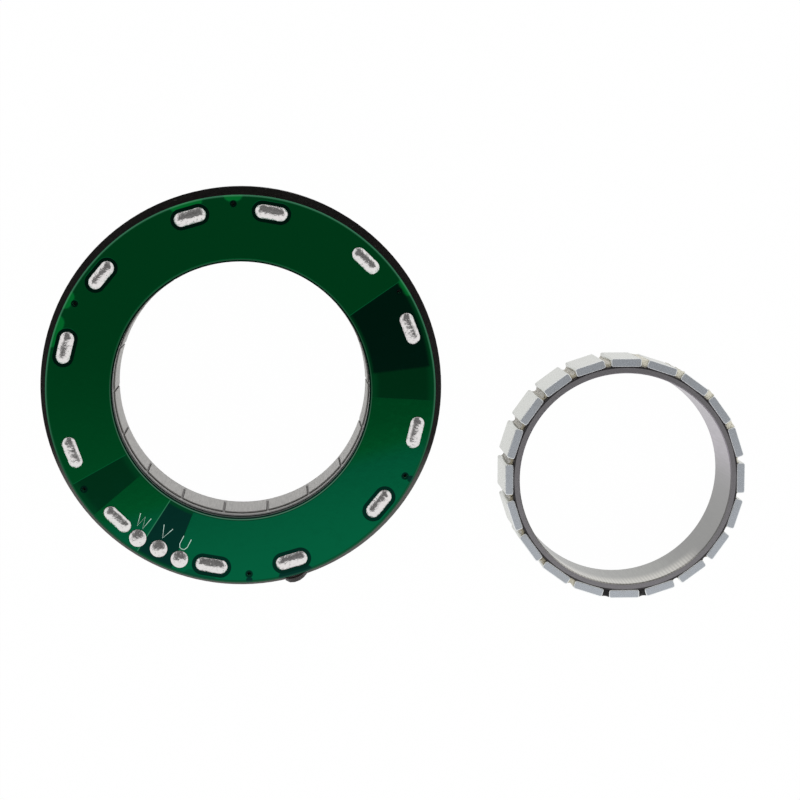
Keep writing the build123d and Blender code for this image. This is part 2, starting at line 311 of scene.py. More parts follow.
def drawn_lines_group():
    """Fine lines that run along Z on a round wall, as a punch or a broach leaves them."""
    inputs = {"Place": VECTOR, "Fineness": NUMBER, "Depth": NUMBER}
    outputs = {"Lines": NUMBER, "Normal": VECTOR}
    shared, mixer, given, result = shared_group("drawn_lines", inputs, outputs)
    flattened = mixer.moved(given["Place"], scale=(1, 1, 0.03))
    lines = mixer.speckle(flattened, given["Fineness"], 3.0, 0.7)
    mixer.tree.links.new(lines, result["Lines"])
    mixer.tree.links.new(mixer.relief(lines, given["Depth"]), result["Normal"])
    return shared


def oblong_distance_group():
    """Millimetres from the middle line of an oblong that is long along Y."""
    inputs = {"Place": VECTOR, "Half Length": NUMBER}
    outputs = {"Distance": NUMBER}
    shared, mixer, given, result = shared_group("oblong_distance", inputs, outputs)
    x, y, _ = mixer.parts(given["Place"])
    beyond = mixer.math("SUBTRACT", mixer.math("ABSOLUTE", y), given["Half Length"])
    beyond = mixer.math("MAXIMUM", beyond, 0.0)
    mixer.tree.links.new(mixer.length(x, beyond), result["Distance"])
    return shared


GRAIN = grain_group()
DRAWN_LINES = drawn_lines_group()
OBLONG_DISTANCE = oblong_distance_group()

# The board's copper, in millimetres and degrees. Each pour runs from one line to the next,
# counter-clockwise, and a window between pours shows the layer below.
POUR_BORE_EDGE = 30.45
POUR_RIM_EDGE = 44.6
UPPER_POUR = (34.4, 209.0)
W_POUR = (220.0, 236.9)
LOWER_POUR = (248.2, 356.6)
DARK_WINDOW = (7.0, 34.4)
V_WINDOW = (236.9, 248.2)
BRIGHT_CLEARANCES = (80, 106, 140, 166)
DARK_CLEARANCES = (260, 286, 320)
BRIGHT_HOLES = (32, 92, 152)
DARK_HOLES = (212, 272, 332)
HOLE_RING_RADIUS = 43.05
CLEARANCE = 0.8

# Rings of the board: the inner and the outer radius, and the softness of their edges
POUR_BAND = (POUR_BORE_EDGE, POUR_RIM_EDGE, 0.1)
WINDOW_BAND = (31.5, 43.6, 0.9)
DARK_WINDOW_BAND = (30.7, 44.1, 0.6)
V_WINDOW_BAND = (31.2, 44.3, 0.35)
BORE_HIGHLIGHT_BAND = (BOARD_BORE_RADIUS / MM + 0.34, BOARD_BORE_RADIUS / MM + 0.56, 0.06)
SHADED_LIP_WIDTH = 0.3

# Gaps in the pours along the rim: the angle, the half length and the reach of each
BRIGHT_GAPS = [(106, 2.0, 1.9), (162, 2.0, 1.9)] + [(angle, 0.7, 1.5) for angle in BRIGHT_HOLES]
DARK_GAP = (286, 2.2, 1.9)
FAINT_GAP = (257, 2.2, 1.7)
FAINT_GAP_STRENGTH = 0.45

# The slanting line under which the resist gets a painted reflection of the softbox, bluer: its
# slope, and where it starts and ends
SHEEN_SLOPE = 0.26
SHEEN_START = -20.5
SHEEN_END = -26.0

RESIST_TOP = linear(2, 92, 44)
RESIST_PAINTED_SHEEN = linear(4, 91, 58)
RESIST_EDGE = linear(0, 52, 20)
RESIST_LENS = linear(3, 98, 38)
RESIST_DARK = linear(0, 15, 6)
RESIST_WINDOW = linear(0, 38, 12)
RESIST_CLEARANCE = linear(0, 11, 5)
RESIST_TEAL = linear(2, 28, 24)
SHADED_INNER_CUT = linear(1, 5, 2)
OUTER_CUT = linear(58, 134, 94)
POUR_EDGE_HIGHLIGHT = linear(10, 78, 48)
BRIGHT_POUR_EDGE_HIGHLIGHT = linear(70, 150, 110)
RIM_EDGE_AND_HIGHLIGHT = linear(88, 160, 124)
BORE_HIGHLIGHT = linear(104, 150, 128)


class BoardPlan:
    """Masks on the board's face, drawn from its outlines in the plan."""

    def __init__(self, mixer):
        self.mixer = mixer
        self.place = mixer.millimetres()
        self.x, self.y, _ = mixer.parts(self.place)
        self.radius = mixer.length(self.x, self.y)

    def past_line(self, angle, softness):
        """One beyond a radial line, on its counter-clockwise side."""
        across = self.mixer.math("MULTIPLY", self.y, cos(radians(angle)))
        along = self.mixer.math("MULTIPLY", self.x, sin(radians(angle)))
        distance = self.mixer.math("SUBTRACT", across, along)
        return self.mixer.step(distance, -softness, softness)

    def sector(self, angles, softness=0.09):
        """One between two radial lines."""
        start, end = angles
        beyond = self.past_line(start, softness)
        return self.mixer.both(beyond, self.mixer.outside(self.past_line(end, softness)))

    def band(self, inner, outer, softness):
        """One between two radii."""
        start = self.mixer.step(self.radius, inner - softness, inner + softness)
        end = self.mixer.step(self.radius, outer - softness, outer + softness, 1.0, 0.0)
        return self.mixer.both(start, end)

    def near(self, radius, angle, half_length, reach, softness=0.08):
        """One within reach of an oblong that lies along the rim at a radius and an angle."""
        local = self.mixer.moved(self.place, (-radius, 0, 0), -angle)
        inputs = {"Place": local, "Half Length": half_length}
        distance = self.mixer.group(OBLONG_DISTANCE, inputs)["Distance"]
        return self.mixer.step(distance, reach - softness, reach + softness, 1.0, 0.0)


def pour_masks(plan):
    """The copper pours: where they lie, where a gap opens at the rim, and what is kept clear."""
    mixer = plan.mixer
    sectors = mixer.either(*[plan.sector(angles) for angles in (UPPER_POUR, LOWER_POUR, W_POUR)])
    pad_radius = PAD_RADIUS / MM
    pad_shape = (PAD_STRAIGHT / MM / 2, PAD_END_RADIUS / MM + CLEARANCE)
    pads = BRIGHT_CLEARANCES + DARK_CLEARANCES
    clear = mixer.either(*[plan.near(pad_radius, angle, *pad_shape) for angle in pads])
    holes = BRIGHT_HOLES + DARK_HOLES
    rings = mixer.either(*[plan.near(HOLE_RING_RADIUS, a, 0.01, 0.85, 0.12) for a in holes])
    rim = BOARD_RADIUS / MM
    bright_gap = mixer.either(*[plan.near(rim, *gap, 0.3) for gap in BRIGHT_GAPS])
    keyholes = [plan.near(POUR_RIM_EDGE - 0.1, a, 0.01, 0.75, 0.12) for a in DARK_HOLES[1:]]
    faint_gap = mixer.part_of(plan.near(rim, *FAINT_GAP, 0.2), FAINT_GAP_STRENGTH)
    dark_gap = mixer.either(faint_gap, plan.near(rim, *DARK_GAP, 0.2), *keyholes)
    filled = mixer.both(mixer.outside(bright_gap), mixer.outside(dark_gap))
    pour = mixer.both(sectors, plan.band(*POUR_BAND), filled)
    return sectors, pour, mixer.either(clear, rings), bright_gap, dark_gap


def resist_colour(plan):
    """The colour of the board's faces, with painted highlights, painted shade and a painted
    reflection, and where copper shows through the resist.
    """
    mixer = plan.mixer
    sectors, pour, cleared, bright_gap, dark_gap = pour_masks(plan)
    dark_window = mixer.both(plan.sector(DARK_WINDOW, 0.4), plan.band(*DARK_WINDOW_BAND))
    v_window = mixer.both(plan.sector(V_WINDOW), plan.band(*V_WINDOW_BAND))
    # Below a slanting line the pour gets a painted reflection of the softbox, bluer
    slant = mixer.math("SUBTRACT", plan.y, mixer.part_of(plan.x, SHEEN_SLOPE))
    painted_sheen = mixer.step(slant, SHEEN_END, SHEEN_START, 1.0, 0.0)

    pour_band = plan.band(*POUR_BAND)
    # Painted highlights: thin light lines along the pours' edges, where the copper steps up
    pour_edge_highlight = mixer.both(sectors, mixer.outside(sectors))
    pour_edge_highlight = mixer.both(mixer.part_of(pour_edge_highlight, 1.2), pour_band)
    w_edge_highlight = mixer.both(plan.sector((W_POUR[1] - 0.15, W_POUR[1] + 0.15), 0.06), pour_band)
    # The pale routed rim with a painted highlight, stronger toward +Y
    rim_edge_and_highlight = mixer.step(plan.radius, BOARD_RADIUS / MM - 0.5, BOARD_RADIUS / MM - 0.15)
    rim_edge_and_highlight = mixer.both(rim_edge_and_highlight, mixer.step(plan.y, -30.0, 10.0, 0.12, 0.4))
    # A painted highlight on the bore's rounded lip, stronger toward -Y
    bore_highlight = mixer.both(plan.band(*BORE_HIGHLIGHT_BAND), mixer.step(plan.y, -28.0, 10.0, 0.5, 0.12))
    # Painted shade: a near-black band on the board's face along the bore, where the gap beneath
    # lies in shadow
    shaded_lip_edge = BOARD_BORE_RADIUS / MM + SHADED_LIP_WIDTH
    shaded_bore_lip = mixer.step(plan.radius, shaded_lip_edge - 0.04, shaded_lip_edge + 0.04, 1.0, 0.0)

    green = RESIST_EDGE
    for mask, colour in (
        (plan.band(*WINDOW_BAND), RESIST_WINDOW),
        (bright_gap, RESIST_LENS),
        (dark_window, RESIST_DARK),
        (mixer.either(v_window, dark_gap), RESIST_TEAL),
        (pour, mixer.blend(painted_sheen, RESIST_TOP, RESIST_PAINTED_SHEEN)),
        (cleared, RESIST_CLEARANCE),
        (pour_edge_highlight, POUR_EDGE_HIGHLIGHT),
        (mixer.part_of(w_edge_highlight, 0.5), BRIGHT_POUR_EDGE_HIGHLIGHT),
        (rim_edge_and_highlight, RIM_EDGE_AND_HIGHLIGHT),
        (bore_highlight, BORE_HIGHLIGHT),
        (shaded_bore_lip, SHADED_INNER_CUT),
    ):
        green = mixer.blend(mask, green, colour)
    return green, mixer.both(pour, mixer.outside(cleared))


def board_laminate():
    """Green resist over copper pours, with darker windows between them, and sawn edges, the inner
    one in painted shade.
    """
    material, mixer, shader = finish("board_laminate", ior=1.5, specular_ior_level=0.4)
    shader.inputs["Specular Tint"].default_value = (0.05, 0.6, 0.42, 1.0)
    plan = BoardPlan(mixer)
    green, copper = resist_colour(plan)
    face = mixer.step(mixer.math("ABSOLUTE", mixer.facing_up()), 0.4, 0.6)
    fibres = mixer.speckle(mixer.moved(plan.place, scale=(1, 1, 5)), 1.6, 3.0)
    # The inner cut edge gets painted shade, near black; the outer one shows the pale laminate
    cut_edge = mixer.blend(mixer.step(plan.radius, 35.0, 40.0), SHADED_INNER_CUT, OUTER_CUT)
    cut_edge = mixer.blend(mixer.part_of(fibres, 0.4), cut_edge, linear(40, 66, 44))
    waviness = mixer.part_of(mixer.speckle(plan.place, 0.6, 2.0), 0.25)
    raised = mixer.relief(mixer.math("ADD", copper, waviness), 0.00002)
    grain = mixer.grain(plan.place, 5.0, 0.000002, raised)
    gloss = mixer.step(grain["Marks"], 0.0, 1.0, 0.08, 0.12)
    connect(
        mixer,
        shader,
        base_color=mixer.blend(face, cut_edge, green),
        metallic=mixer.part_of(mixer.both(copper, face), 0.8),
        roughness=mixer.either(gloss, mixer.step(face, 0.0, 1.0, 0.7, 0.0)),
        normal=grain["Normal"],
    )
    return material


# Scale of the wave that draws the stack's sheets, each 0.44 mm thick
SHEET_WAVE_SCALE = 0.715


def lamination_steel():
    """Stacked sheet: black varnish outside, and a ground bore with the sheets' edges bare."""
    material, mixer, shader = finish("lamination_steel", specular_ior_level=0.25)
    place = mixer.millimetres()
    x, y, z = mixer.parts(place)
    radius = mixer.length(x, y)
    bore = mixer.step(radius, 29.66, 29.78, 1.0, 0.0)
    rubbed = mixer.step(radius, 29.8, 29.86, 1.0, 0.0)
    sheets = mixer.add(
        "ShaderNodeTexWave",
        {"Vector": place, "Scale": SHEET_WAVE_SCALE, "Distortion": 0.15, "Detail": 1.0},
        wave_type="BANDS",
        bands_direction="Z",
    ).outputs["Fac"]
    lines = mixer.group(DRAWN_LINES, {"Place": place, "Fineness": 5.0, "Depth": 0.00001})
    bare = mixer.blend(lines["Lines"], linear(206, 204, 200), linear(136, 134, 132))
    seam = mixer.step(sheets, 0.0, 0.25, 0.75, 1.0)
    bare = mixer.blend(seam, linear(90, 88, 86), bare)
    flecks = mixer.step(mixer.speckle(place, 1.1, 5.0, 0.7), 0.62, 0.7)
    varnish = mixer.blend(mixer.speckle(place, 0.8, 4.0), linear(8, 7, 7), linear(30, 25, 23))
    varnish = mixer.blend(mixer.part_of(flecks, 0.3), varnish, linear(104, 97, 94))
    varnish = mixer.blend(mixer.part_of(rubbed, 0.9), varnish, linear(150, 148, 145))
    # A painted highlight: a grey band on the outer rim, strongest on its lower side
    rim_highlight = mixer.both(mixer.step(radius, 45.8, 46.3), mixer.step(z, 6.2, 7.3))
    rim_highlight = mixer.both(rim_highlight, mixer.step(y, -26.0, -12.0, 0.9, 0.0))
    varnish = mixer.blend(rim_highlight, varnish, linear(104, 105, 101))
    colour = mixer.blend(bore, varnish, bare)
    ridges = mixer.relief(sheets, 0.00004, 0.6, lines["Normal"])
    grain = mixer.grain(place, 2.2, 0.00004, ridges)
    connect(
        mixer,
        shader,
        base_color=colour,
        metallic=mixer.step(bore, 0.0, 1.0, 0.0, 0.85),
        roughness=mixer.step(grain["Mottle"], 0.3, 0.7, 0.4, 0.58),
        normal=grain["Normal"],
    )
    return material


def insulator_plastic():
    """Moulded nylon, grey and slightly waxy, with painted shade close under the board."""
    material, mixer, shader = finish("insulator_plastic", ior=1.5)
    place = mixer.millimetres()
    x, y, z = mixer.parts(place)
    radius = mixer.length(x, y)
    grain = mixer.grain(place, 4.0, 0.00001)
    colour = mixer.blend(grain["Mottle"], linear(170, 169, 166), linear(192, 190, 187))
    colour = mixer.blend(mixer.part_of(grain["Marks"], 0.3), colour, linear(120, 115, 116))
    # Painted shade: near black on the flange's top and on the ledge under the board's edge
    shaded_flange_top = mixer.both(mixer.step(z, 9.5, 9.8), mixer.step(radius, 33.0, 34.0, 1.0, 0.0))
    upward = mixer.step(mixer.facing_up(), 0.5, 0.8)
    shaded_under_board = mixer.both(upward, mixer.step(radius, 40.0, 41.0))
    colour = mixer.blend(mixer.either(shaded_flange_top, shaded_under_board), colour, linear(14, 20, 15))
    roughness = mixer.step(grain["Mottle"], 0.3, 0.7, 0.42, 0.56)
    connect(mixer, shader, base_color=colour, roughness=roughness, normal=grain["Normal"])
    return material


def fibre_sheet(name, dark, light, roughness, fineness, stretch, depth):
    """Sheet pressed from fibres that run along Z."""
    material, mixer, shader = finish(name, roughness=roughness)
    place = mixer.moved(mixer.millimetres(), scale=(1, 1, stretch))
    fibres = mixer.speckle(place, fineness, 4.0, 0.7)
    colour = mixer.blend(fibres, linear(*dark), linear(*light))
    connect(mixer, shader, base_color=colour, normal=mixer.relief(fibres, depth))
    return material


def slot_paper():
    """Pale fibre paper."""
    return fibre_sheet("slot_paper", (205, 192, 160), (226, 217, 192), 0.85, 5.0, 0.25, 0.00003)


def wedge_fibre():
    """Grey varnished fibre strip."""
    return fibre_sheet("wedge_fibre", (112, 108, 106), (150, 146, 143), 0.6, 4.0, 0.2, 0.00002)


def enamelled_copper():
    """Copper under a deep brown baked enamel."""
    material, mixer, shader = finish("enamelled_copper", coat_roughness=0.1)
    place = mixer.millimetres()
    grain = mixer.grain(place, 1.5, 0.00001)
    colour = mixer.blend(grain["Mottle"], linear(112, 48, 24), linear(176, 88, 44))
    colour = mixer.blend(grain["Marks"], colour, linear(84, 38, 24))
    coat = mixer.step(grain["Mottle"], 0.2, 0.8, 0.7, 1.0)
    connect(
        mixer,
        shader,
        base_color=colour,
        metallic=mixer.step(grain["Mottle"], 0.2, 0.8, 0.75, 0.9),
        roughness=mixer.step(grain["Marks"], 0.0, 1.0, 0.28, 0.42),
        coat_weight=coat,
        normal=grain["Normal"],
    )
    return material


def dark_enamel():
    """The loose link's strands: the enamel is darker than on the coils."""
    material, mixer, shader = finish("dark_enamel", coat_roughness=0.2, specular_ior_level=0.25)
    place = mixer.millimetres()
    grain = mixer.grain(place, 2.0, 0.00002)
    colour = mixer.blend(grain["Mottle"], linear(8, 5, 5), linear(34, 21, 19))
    connect(
        mixer,
        shader,
        base_color=colour,
        roughness=mixer.step(grain["Mottle"], 0.2, 0.8, 0.3, 0.45),
        coat_weight=mixer.step(grain["Marks"], 0.0, 1.0, 0.25, 0.1),
        normal=grain["Normal"],
    )
    return material


def solder():
    """Bright tin solder, with frosted patches where it froze last."""
    material, mixer, shader = finish("solder", metallic=1.0)
    place = mixer.millimetres()
    frost = mixer.speckle(place, 1.6, 4.0, 0.65)
    cells = mixer.add("ShaderNodeTexVoronoi", {"Vector": place, "Scale": 1.2}).outputs["Distance"]
    pits = mixer.step(cells, 0.06, 0.18, 1.0, 0.0)
    patches = mixer.step(frost, 0.5, 0.7)
    colour = mixer.blend(patches, linear(226, 223, 222), linear(208, 204, 203))
    colour = mixer.blend(mixer.part_of(pits, 0.5), colour, linear(110, 108, 108))
    roughness = mixer.step(patches, 0.0, 1.0, 0.15, 0.24)
    wrinkles = mixer.speckle(place, 0.8, 2.0, 0.5)
    height = mixer.math("SUBTRACT", frost, mixer.part_of(pits, 0.8))
    height = mixer.math("ADD", height, mixer.part_of(wrinkles, 1.8))
    connect(
        mixer, shader, base_color=colour, roughness=roughness, normal=mixer.relief(height, 0.00006)
    )
    return material


# Painted glints on the hub's bore: how many streaks go round, and their shares
GLINT_STREAKS_PER_TURN = 200
GLINT_SHARES = (0.3, 0.52)

# The side of the hub's wall that gets painted shade: its direction, and the distances where it
# starts and ends
SHADE_DIRECTION = (0.89, -0.46)
SHADE_START = 18.5
SHADE_END = 24.5

# Distance from the axis where the end face meets the glue line
GLUE_GROOVE = (26.66, 26.78)


def hub_steel():
    """Turned steel: dark lapped end faces, and a satin bore with fine axial lines, painted glint
    streaks on one patch and painted shade on one side.
    """
    material, mixer, shader = finish("hub_steel")
    place = mixer.rotor_millimetres()
    x, y, z = mixer.parts(place)
    end_face = mixer.step(mixer.math("ABSOLUTE", mixer.facing_up()), 0.85, 0.95)
    lines = mixer.group(DRAWN_LINES, {"Place": place, "Fineness": 4.0, "Depth": 0.000012})
    # Lilac and lighter toward +Y, greenish grey toward -Y
    side_tint = mixer.blend(mixer.step(y, -12.0, 6.0), linear(154, 156, 149), linear(188, 180, 193))
    wall = mixer.blend(lines["Lines"], side_tint, linear(112, 110, 110))
    # Painted shade, darker grey, on one side of the wall
    along_x, along_y = SHADE_DIRECTION
    toward_shade = mixer.math("ADD", mixer.part_of(x, along_x), mixer.part_of(y, along_y))
    painted_shade = mixer.step(toward_shade, SHADE_START, SHADE_END)
    wall = mixer.blend(mixer.part_of(painted_shade, 0.7), wall, linear(106, 105, 104))
    # A painted glint: near-white streaks on one patch of the wall
    turned = mixer.math("MULTIPLY", mixer.math("ARCTAN2", y, x), GLINT_STREAKS_PER_TURN)
    glint_streaks = mixer.step(mixer.math("SINE", turned), -1.0, 1.0, *GLINT_SHARES)
    glint_patch = mixer.both(mixer.step(z, 0.0, 7.0), mixer.step(y, -21.5, -17.0, 1.0, 0.0))
    wall = mixer.blend(mixer.both(glint_streaks, glint_patch), wall, linear(240, 236, 226))
    mottled = mixer.speckle(place, 3.5, 4.0, 0.7)
    face = mixer.blend(mottled, linear(116, 114, 117), linear(148, 145, 148))
    groove = mixer.step(mixer.length(x, y), *GLUE_GROOVE)
    face = mixer.blend(mixer.part_of(groove, 0.85), face, linear(30, 27, 29))
    grain = mixer.grain(place, 4.0, 0.000006, lines["Normal"])
    connect(
        mixer,
        shader,
        base_color=mixer.blend(end_face, wall, face),
        metallic=mixer.step(end_face, 0.0, 1.0, 0.95, 0.85),
        roughness=mixer.step(end_face, 0.0, 1.0, 0.3, 0.28),
        normal=grain["Normal"],
    )
    return material


def plated_magnet():
    """Nickel plate over sintered magnet: satin, a little blue on the cut ends, with a painted
    highlight on the rounded edges.
    """
    material, mixer, shader = finish("plated_magnet")
    place = mixer.millimetres()
    flatness = mixer.math("ABSOLUTE", mixer.facing_up())
    end_face = mixer.step(flatness, 0.93, 0.99)
    # A painted highlight, near white, on the rounded edges
    rim = mixer.both(mixer.step(flatness, 0.1, 0.3), mixer.outside(end_face))
    grain = mixer.grain(place, 4.5, 0.000008)
    side = mixer.blend(grain["Mottle"], linear(190, 192, 186), linear(206, 208, 202))
    cut = mixer.blend(grain["Mottle"], linear(170, 175, 182), linear(190, 195, 201))
    colour = mixer.blend(end_face, side, cut)
    colour = mixer.blend(mixer.part_of(grain["Marks"], 0.2), colour, linear(170, 168, 160))
    colour = mixer.blend(rim, colour, linear(238, 240, 241))
    metal = mixer.step(end_face, 0.0, 1.0, 0.9, 0.7)
    metal = mixer.math("SUBTRACT", metal, mixer.part_of(rim, 0.5))
    connect(
        mixer,
        shader,
        base_color=colour,
        metallic=metal,
        roughness=mixer.step(grain["Mottle"], 0.3, 0.7, 0.22, 0.3),
        normal=grain["Normal"],
    )
    return material


def cured_adhesive():
    """Epoxy between the magnets: cloudy cream with voids, to light brown and black."""
    material, mixer, shader = finish("cured_adhesive", ior=1.5, coat_roughness=0.15)
    place = mixer.millimetres()
    shade = mixer.add("ShaderNodeAttribute", {}, attribute_name="shade").outputs["Fac"]
    cloud = mixer.speckle(place, 1.2, 4.0, 0.7)
    voids = mixer.step(mixer.speckle(place, 1.8, 3.0, 0.6), 0.58, 0.66)
    cream = mixer.blend(cloud, linear(214, 208, 186), linear(238, 236, 222))
    brown = mixer.blend(cloud, linear(136, 128, 106), linear(188, 180, 158))
    colour = mixer.blend(mixer.step(shade, 0.0, 0.5), cream, brown)
    colour = mixer.blend(mixer.both(voids, mixer.step(shade, 0.1, 0.5)), colour, linear(70, 62, 52))
    x, y, _ = mixer.parts(mixer.rotor_millimetres())
    root = mixer.step(mixer.length(x, y), 27.1, 27.6, 1.0, 0.0)
    colour = mixer.blend(mixer.both(root, mixer.step(shade, 0.2, 0.45)), colour, linear(48, 42, 36))
    black = mixer.step(shade, 0.6, 0.9)
    colour = mixer.blend(black, colour, linear(12, 10, 14))
    connect(
        mixer,
        shader,
        base_color=colour,
        roughness=mixer.step(cloud, 0.2, 0.8, 0.35, 0.6),
        coat_weight=mixer.part_of(mixer.outside(black), 0.3),
        normal=mixer.relief(mixer.math("ADD", cloud, voids), 0.0001),
    )
    return material


def silkscreen():
    """Thin pale ink."""
    material, mixer, shader = finish("silkscreen", roughness=0.6)
    place = mixer.millimetres()
    worn = mixer.speckle(place, 3.0, 3.0)
    colour = mixer.blend(worn, linear(172, 205, 192), linear(205, 228, 218))
    connect(mixer, shader, base_color=colour)
    return material


FINISHES = {
    "lamination_steel": lamination_steel(),
    "slot_paper": slot_paper(),
    "wedge_fibre": wedge_fibre(),
    "insulator_plastic": insulator_plastic(),
    "enamelled_copper": enamelled_copper(),
    "board_laminate": board_laminate(),
    "solder": solder(),
    "hub_steel": hub_steel(),
    "plated_magnet": plated_magnet(),
    "cured_adhesive": cured_adhesive(),
}
SILKSCREEN = silkscreen()
DARK_ENAMEL = dark_enamel()

CAD_FINISHES = {
    "stator_core": "lamination_steel",
    "slot_liners": "slot_paper",
    "slot_wedges": "wedge_fibre",
    "upper_insulator": "insulator_plastic",
    "lower_insulator": "insulator_plastic",
    "coil_leads": "enamelled_copper",
    "circuit_board": "board_laminate",
    "rotor_hub": "hub_steel",
}


def dress_cad_nodes():
    """Finishes for the nodes that show as the CAD part has them."""
    for name, slot in CAD_FINISHES.items():
        for material_slot in CAD[name].material_slots:
            material_slot.material = FINISHES[slot]


def new_object(name, mesh, material):
    """An object in the scene from a bmesh or a mesh, with one material."""
    if isinstance(mesh, bmesh.types.BMesh):
        data = bpy.data.meshes.new(name)
        mesh.to_mesh(data)
        mesh.free()
    else:
        data = mesh
        data.name = name
    data.materials.clear()
    data.materials.append(material)
    made = bpy.data.objects.new(name, data)
    bpy.context.scene.collection.objects.link(made)
    return made


def piece(name, mesh, body, slot, nodes=(), material=None):
    """A smooth piece with its finish, its body and the nodes that it stands for."""
    made = new_object(name, mesh, material or FINISHES[slot])
    made.data.polygons.foreach_set("use_smooth", [True] * len(made.data.polygons))
    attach(made, body)
    if nodes:
        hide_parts(*nodes)
    return made


def wire_mesh(paths, thickness, sides=6, closed=False):
    """Round wires along lists of points, as one mesh."""
    curve = bpy.data.curves.new("wire", "CURVE")
    curve.dimensions = "3D"
    curve.bevel_depth = thickness / 2
    curve.bevel_resolution = (sides - 4) // 2
    curve.use_fill_caps = not closed
    for path in paths:
        spline = curve.splines.new("POLY")
        spline.points.add(len(path) - 1)
        for point, place in zip(spline.points, path):
            point.co = (*place, 1)
        spline.use_cyclic_u = closed
    holder = bpy.data.objects.new("wire", curve)
    mesh = bpy.data.meshes.new_from_object(holder)
    bpy.data.objects.remove(holder)
    bpy.data.curves.remove(curve)
    return mesh


# Solder

ARC_SEGMENTS = 18
STRAIGHT_CUTS = 11
DOME_RINGS = 9
DOME_RING_CROWDING = 1.3
DOME_CREST = 0.06
DOME_PLUMPNESS = 2.2
WELD_DISTANCE = 0.01 * MM
LUMP = 0.085 * MM
COARSE_LUMP_SIZE = 2.4 * MM
FINE_LUMP_SIZE = 1.2 * MM


def dome_level(share, height):
    """Height of a dome at a share of the way from its middle line to its outline."""
    return height * (1 - share**DOME_PLUMPNESS)


def solder_dome(straight, radius, height, seed):
    """A dome of solder on the XY plane, long along Y, raised ring by ring from its outline."""
    mesh = bmesh.new()
    half_step = Matrix.Rotation(pi / (2 * ARC_SEGMENTS), 4, "Z")
    bmesh.ops.create_circle(
        mesh, cap_ends=True, segments=2 * ARC_SEGMENTS, radius=radius, matrix=half_step
    )
    if straight:
        for vert in mesh.verts:
            vert.co.y += copysign(straight / 2, vert.co.y)
        sides = [edge for edge in mesh.edges if edge.calc_length() > straight]
        bmesh.ops.subdivide_edges(mesh, edges=sides, cuts=STRAIGHT_CUTS)
    base = mesh.faces[:]
    raised = bmesh.ops.extrude_face_region(mesh, geom=base)
    top = [item for item in raised["geom"] if isinstance(item, bmesh.types.BMFace)]
    shares = [1 - (ring / DOME_RINGS) ** DOME_RING_CROWDING for ring in range(DOME_RINGS)]
    shares.append(DOME_CREST)
    for outer, inner in zip(shares, shares[1:]):
        bmesh.ops.inset_region(
            mesh,
            faces=top,
            thickness=radius * (outer - inner),
            depth=dome_level(inner, height) - dome_level(outer, height),
            use_even_offset=True,
        )
    bmesh.ops.poke(mesh, faces=top)
    bmesh.ops.remove_doubles(mesh, verts=mesh.verts, dist=WELD_DISTANCE)
    bmesh.ops.recalc_face_normals(mesh, faces=mesh.faces)
    dent_solder(mesh, height, seed)
    return mesh


def dent_solder(mesh, height, seed):
    """Uneven outline and a wandering crest, as hand soldering leaves them."""
    shift = Vector((seed * 7.3, seed * 3.1, seed * 1.7))
    for vert in mesh.verts:
        risen = vert.co.z / height
        coarse = noise.noise_vector(vert.co / COARSE_LUMP_SIZE + shift)
        fine = noise.noise_vector(vert.co / FINE_LUMP_SIZE + shift)
        vert.co.x += LUMP * (0.7 + 0.6 * risen) * coarse.x
        vert.co.y += LUMP * 0.7 * coarse.y
        vert.co.z += risen * LUMP * (coarse.z + 0.2 * fine.z - 1.0)


def solder_joints():
    """The twelve oblong joints, as one piece."""
    joined = bmesh.new()
    for number, angle in enumerate(PAD_ANGLES):
        dome = solder_dome(PAD_STRAIGHT, PAD_END_RADIUS, SOLDER_HEIGHT, number + 1)
        place = turn(angle) @ Matrix.Translation((PAD_RADIUS, 0, BOARD_TOP))
        add_to(joined, dome, place)
    piece("slot_solder", joined, "stator", "solder", ["slot_solder_joints"])


def add_to(joined, part, place):
    """Puts a bmesh into another at a place."""
    part.transform(place)
    data = bpy.data.meshes.new("part")
    part.to_mesh(data)
    part.free()
    joined.from_mesh(data)
    bpy.data.meshes.remove(data)


def phase_solder():
    """The three round pads of the phases."""
    for step, phase in zip((-1, 0, 1), "wvu"):
        dome = solder_dome(0, PHASE_PAD_END_RADIUS, PHASE_SOLDER_HEIGHT, 20 + step)
        spot = Matrix.Translation((PHASE_PAD_RADIUS, step * PHASE_PAD_PITCH, BOARD_TOP))
        dome.transform(turn(PHASE_PAD_ANGLE) @ spot)
        piece(f"phase_solder_{phase}", dome, "stator", "solder", [f"phase_pad_{phase}"])


# Phase letters

LETTER_HEIGHT = 3.0 * MM
LETTER_WIDTH = 2.3 * MM
LETTER_STROKE = 0.17 * MM
LETTER_FLATNESS = 0.12
LETTER_LIFT = 0.005 * MM
LETTER_UP = 62.0
LETTER_PLACES = {"w": (-23.0, -30.5), "v": (-17.8, -33.1), "u": (-13.4, -35.7)}
LETTER_STROKES = {
    "w": [(-0.6, 0.5), (-0.3, -0.5), (0, 0.4), (0.3, -0.5), (0.6, 0.5)],
    "v": [(-0.5, 0.5), (0, -0.5), (0.5, 0.5)],
    "u": [
        (-0.42, 0.5), (-0.42, -0.2), (-0.25, -0.45), (0, -0.5),
        (0.25, -0.45), (0.42, -0.2), (0.42, 0.5),
    ],
}


def phase_letters():
    """The letters of the three phases, one beside each round pad."""
    for phase, (x, y) in LETTER_PLACES.items():
        path = [(px * LETTER_WIDTH, py * LETTER_HEIGHT, 0) for px, py in LETTER_STROKES[phase]]
        mesh = wire_mesh([path], LETTER_STROKE, sides=8)
        flat = Matrix.Diagonal((1, 1, LETTER_FLATNESS, 1))
        place = Matrix.Translation((x * MM, y * MM, BOARD_TOP + LETTER_LIFT))
        upright = Matrix.Rotation(radians(LETTER_UP - 90), 4, "Z")
        mesh.transform(place @ upright @ flat)
        piece(f"phase_letter_{phase}", mesh, "stator", "board_laminate", material=SILKSCREEN)


# Windings

